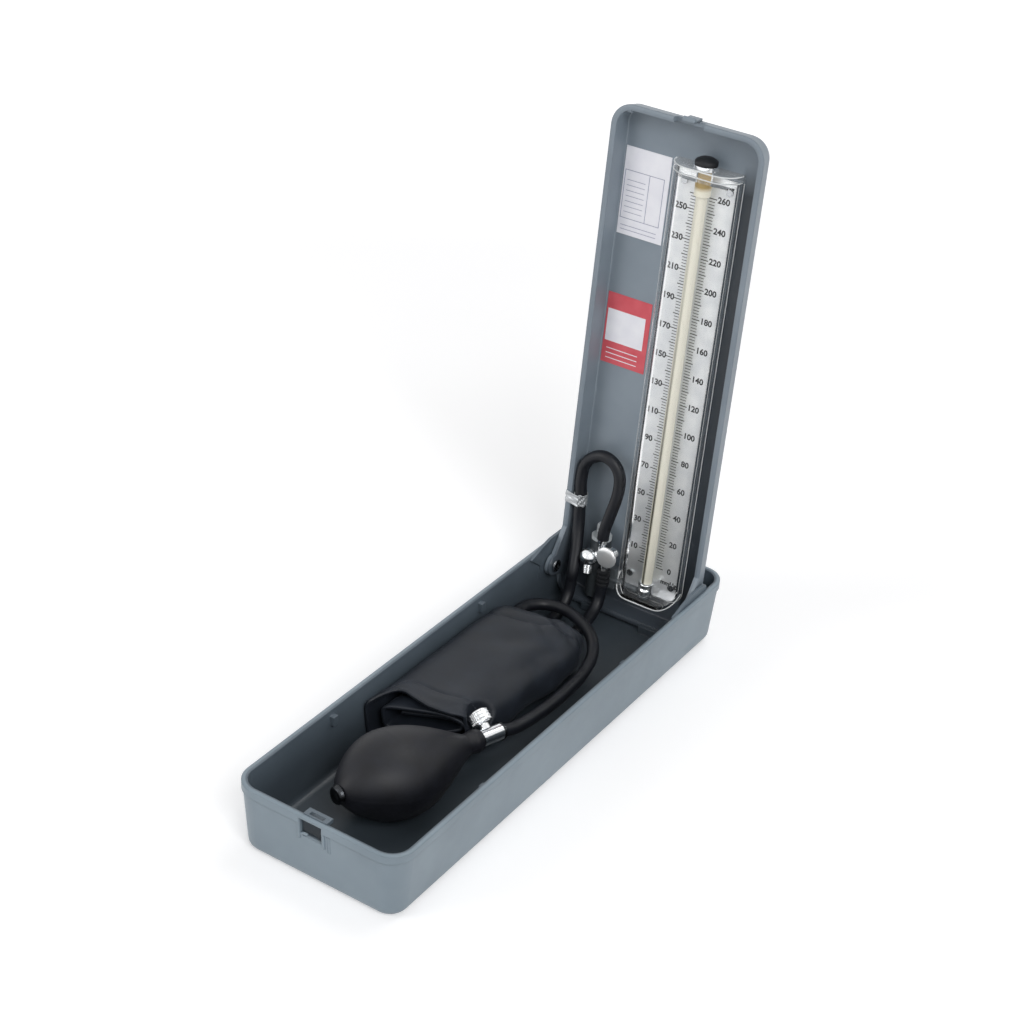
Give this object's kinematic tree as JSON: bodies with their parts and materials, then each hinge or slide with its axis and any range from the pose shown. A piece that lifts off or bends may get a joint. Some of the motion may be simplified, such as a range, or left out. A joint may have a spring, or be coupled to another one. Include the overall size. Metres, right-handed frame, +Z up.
{
  "type": "mercury sphygmomanometer",
  "caption": "Desk mercury blood-pressure gauge in a hinged plastic case: upright scale with glass tube, reservoir and cock in the lid; rolled cuff, rubber bulb and hoses in the tray.",
  "frame": {"origin": "middle of the flat foot under the base tray, at table height", "axes": "+X to the right as seen from the latch end, +Y towards the hinge end, +Z up"},
  "size_m": [0.112, 0.3541, 0.3366],
  "materials": {
    "case_plastic": "fine grain",
    "lid_plastic": "fine grain",
    "chrome": "polished",
    "steel": "satin",
    "cast_metal": "satin",
    "clear_plastic": "clear",
    "tube_glass": "clear",
    "mercury": "polished",
    "plate": "satin",
    "rubber": "matt",
    "bladder_rubber": "matt",
    "fabric": "woven",
    "block_plastic": "satin",
    "tape": "matt",
    "white_card": "satin",
    "red_card": "satin"
  },
  "bodies": {
    "base": {"base_tray": "case_plastic", "hinge_pin_left": "steel", "hinge_pin_right": "steel", "leg_hose": "rubber", "bulb_hose": "rubber", "cuff_hose": "rubber", "cuff": "fabric", "bladder": "bladder_rubber", "bulb": "rubber", "inlet_valve_housing": "chrome", "release_valve_body": "chrome"},
    "lid": {"lid_shell": "lid_plastic", "scale_plate": "plate", "glass_tube": "tube_glass", "mercury_column": "mercury", "clear_cover": "clear_plastic", "cover_cap": "clear_plastic", "tube_cap": "rubber", "tube_cap_ring": "chrome", "top_seal": "rubber", "bottom_seal": "rubber", "tube_socket": "chrome", "unit_screws": "steel", "reservoir_body": "cast_metal", "reservoir_neck": "cast_metal", "reservoir_mercury": "mercury", "transfer_link": "block_plastic", "cock_body": "chrome", "domed_nut": "chrome", "hose_coupling": "rubber", "hose_strap": "tape", "white_card": "white_card", "red_card": "red_card", "arch_hose": "rubber"},
    "latch": {"latch_hook": "lid_plastic"},
    "cock_knob": {"cock_knob": "chrome"},
    "release_screw": {"release_screw": "chrome"},
    "inlet_ball": {"inlet_valve_ball": "steel"}
  },
  "joints": [
    {"name": "lid_hinge", "type": "hinge", "parent": "base", "child": "lid", "pos_m": [0, 0.1336, 0.032], "axis": [1, 0, 0], "range_deg": [0, 94], "deforming": ["cuff", "bladder", "bulb", "arch_hose", "leg_hose", "bulb_hose", "cuff_hose"]},
    {"name": "latch_flex", "type": "hinge", "parent": "lid", "child": "latch", "pos_m": [0, 0.17228, 0.33424], "axis": [1, 0, 0], "range_deg": [0, 8], "stiffness_Nm_per_rad": 0.6},
    {"name": "cock_turn", "type": "hinge", "parent": "lid", "child": "cock_knob", "pos_m": [-0.0125, 0.14298, 0.04859], "axis": [0, -0.9976, 0.0698], "range_deg": [0, 90]},
    {"name": "release_screw_turn", "type": "hinge", "parent": "base", "child": "release_screw", "pos_m": [0.01601, -0.03195, 0.02379], "axis": [-0.8063, 0.2658, 0.5284], "range_deg": [0, 360]},
    {"name": "inlet_ball_slide", "type": "slide", "parent": "base", "child": "inlet_ball", "axis": [0.2665, 0.9608, -0.0767], "range_m": [0, 0.0018]}
  ]
}
